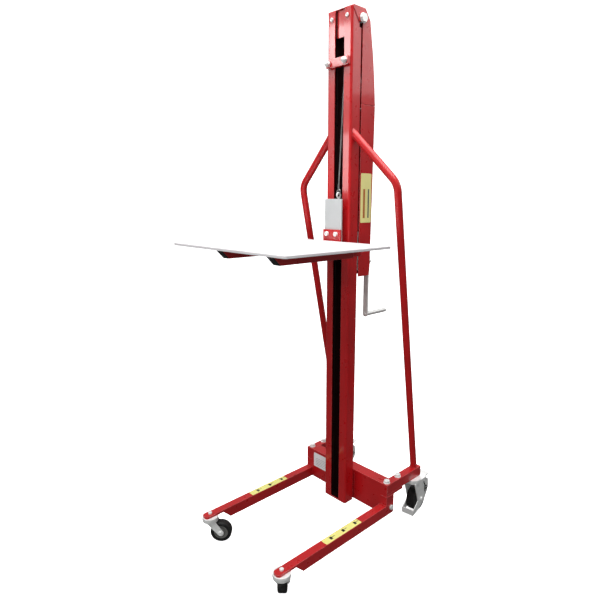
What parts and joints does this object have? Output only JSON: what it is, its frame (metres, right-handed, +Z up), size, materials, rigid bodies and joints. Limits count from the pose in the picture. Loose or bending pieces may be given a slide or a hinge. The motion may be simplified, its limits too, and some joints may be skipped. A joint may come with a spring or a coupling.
{
  "type": "hand winch platform lift",
  "caption": "Wheeled hand-winch lift: a slotted mast carries a flat tray on two forks, raised by a rope and crank, on two legs with swivel casters.",
  "frame": {"origin": "on the floor under the middle of the lift's plan outline", "axes": "+Z up the mast, +X to the right of the mast seen from the tray, the tray towards -Y"},
  "size_m": [0.556, 0.7968, 1.787],
  "materials": {
    "red_paint": "gloss red powder coat",
    "white_paint": "gloss white powder coat",
    "grey_paint": "light grey powder coat",
    "zinc": "zinc plated",
    "bright_steel": "turned bare steel",
    "black_plastic": "moulded black plastic",
    "hub_plastic": "moulded grey plastic",
    "tyre_rubber": "black rubber",
    "rope_steel": "galvanised wire rope"
  },
  "bodies": {
    "frame": {"arm_bolts": "zinc", "arm_washers": "zinc", "axle_nut": "zinc", "axle_washers": "zinc", "caster_races": "zinc", "caster_stems": "zinc", "cover_lower": "red_paint", "cover_upper": "red_paint", "cross_member": "red_paint", "guard_bolts": "zinc", "handle_left": "red_paint", "handle_right": "red_paint", "leg_bolts": "zinc", "leg_left": "red_paint", "leg_right": "red_paint", "mast": "red_paint", "rear_arm_left": "red_paint", "rear_arm_right": "red_paint", "rope_front": "rope_steel", "rope_rear": "rope_steel", "sheave_axle": "zinc", "sheave_guard": "red_paint", "tie_bar": "red_paint", "tie_nuts": "zinc", "winch_frame": "zinc"},
    "carriage": {"carriage_slider": "bright_steel", "slide_pads": "black_plastic", "carriage_plate": "grey_paint", "fork_bracket": "red_paint", "fork_bolts": "zinc", "fork_left": "red_paint", "fork_right": "red_paint", "fork_plugs": "black_plastic", "tray": "white_paint", "eye_bolt": "zinc", "rope_loop": "rope_steel"},
    "sheave": {"sheave": "zinc"},
    "drum": {"drum": "zinc", "drum_gear": "bright_steel", "rope_coil": "rope_steel"},
    "crank": {"crank_shaft": "bright_steel", "ratchet_wheel": "zinc", "crank_arm": "bright_steel", "crank_nut": "zinc"},
    "grip": {"crank_grip": "bright_steel"},
    "pawl": {"pawl": "bright_steel"},
    "front_left_swivel": {"front_left_fork": "zinc"},
    "front_left_wheel": {"front_left_hub": "hub_plastic", "front_left_tyre": "tyre_rubber"},
    "front_right_swivel": {"front_right_fork": "zinc"},
    "front_right_wheel": {"front_right_hub": "hub_plastic", "front_right_tyre": "tyre_rubber"},
    "rear_left_swivel": {"rear_left_fork": "zinc"},
    "rear_left_wheel": {"rear_left_hub": "hub_plastic", "rear_left_tyre": "tyre_rubber"},
    "rear_right_swivel": {"rear_right_fork": "zinc"},
    "rear_right_wheel": {"rear_right_hub": "hub_plastic", "rear_right_tyre": "tyre_rubber"},
    "rear_left_brake": {"rear_left_pedal": "zinc"},
    "rear_right_brake": {"rear_right_pedal": "zinc"}
  },
  "joints": [
    {"name": "crank_turn", "type": "hinge", "parent": "frame", "child": "crank", "pos_m": [0.018, 0.2126, 0.98], "axis": [0, -1, 0], "range_deg": [-8470, 3500]},
    {"name": "lift", "type": "slide", "parent": "frame", "child": "carriage", "axis": [0, 0, 1], "range_m": [-0.93, 0.385], "deforming": ["rope_front"]},
    {"name": "drum_turn", "type": "hinge", "parent": "frame", "child": "drum", "pos_m": [-0.004, 0.1456, 1.02931], "axis": [0, 1, 0], "range_deg": [-2421, 1001]},
    {"name": "sheave_turn", "type": "hinge", "parent": "frame", "child": "sheave", "pos_m": [0, 0.1236, 1.757], "axis": [-1, 0, 0], "range_deg": [-3803, 1572]},
    {"name": "grip_spin", "type": "hinge", "parent": "crank", "child": "grip", "pos_m": [0.018, 0.2706, 0.78], "axis": [0, 1, 0], "continuous": true},
    {"name": "pawl_lift", "type": "hinge", "parent": "frame", "child": "pawl", "pos_m": [-0.022, 0.1771, 1.008], "axis": [0, -1, 0], "range_deg": [0, 25], "stiffness_Nm_per_rad": 0.02},
    {"name": "front_left_swivel", "type": "hinge", "parent": "frame", "child": "front_left_swivel", "pos_m": [-0.197, -0.3574, 0.1], "axis": [0, 0, 1], "continuous": true},
    {"name": "front_left_roll", "type": "hinge", "parent": "front_left_swivel", "child": "front_left_wheel", "pos_m": [-0.1706, -0.33006, 0.0375], "axis": [-0.7193, 0.6947, 0], "continuous": true},
    {"name": "front_right_swivel", "type": "hinge", "parent": "frame", "child": "front_right_swivel", "pos_m": [0.197, -0.3574, 0.1], "axis": [0, 0, 1], "continuous": true},
    {"name": "front_right_roll", "type": "hinge", "parent": "front_right_swivel", "child": "front_right_wheel", "pos_m": [0.16967, -0.331, 0.0375], "axis": [-0.6947, -0.7193, 0], "continuous": true},
    {"name": "rear_left_swivel", "type": "hinge", "parent": "frame", "child": "rear_left_swivel", "pos_m": [-0.202, 0.3016, 0.1], "axis": [0, 0, 1], "continuous": true},
    {"name": "rear_left_roll", "type": "hinge", "parent": "rear_left_swivel", "child": "rear_left_wheel", "pos_m": [-0.19845, 0.33541, 0.048], "axis": [-0.9945, 0.1045, 0], "continuous": true},
    {"name": "rear_left_brake", "type": "hinge", "parent": "rear_left_swivel", "child": "rear_left_brake", "pos_m": [-0.19677, 0.35133, 0.117], "axis": [-0.9945, 0.1045, 0], "range_deg": [0, 18]},
    {"name": "rear_right_swivel", "type": "hinge", "parent": "frame", "child": "rear_right_swivel", "pos_m": [0.202, 0.3016, 0.1], "axis": [0, 0, 1], "continuous": true},
    {"name": "rear_right_roll", "type": "hinge", "parent": "rear_right_swivel", "child": "rear_right_wheel", "pos_m": [0.19786, 0.33535, 0.048], "axis": [-0.9925, -0.1219, 0], "continuous": true},
    {"name": "rear_right_brake", "type": "hinge", "parent": "rear_right_swivel", "child": "rear_right_brake", "pos_m": [0.19591, 0.35123, 0.117], "axis": [-0.9925, -0.1219, 0], "range_deg": [0, 18]}
  ],
  "couplings": [
    {"joint": "lift", "follows": "crank_turn", "m_per_rad": 0.0062857},
    {"joint": "drum_turn", "follows": "crank_turn", "ratio": 0.28571},
    {"joint": "sheave_turn", "follows": "crank_turn", "ratio": 0.44898}
  ]
}
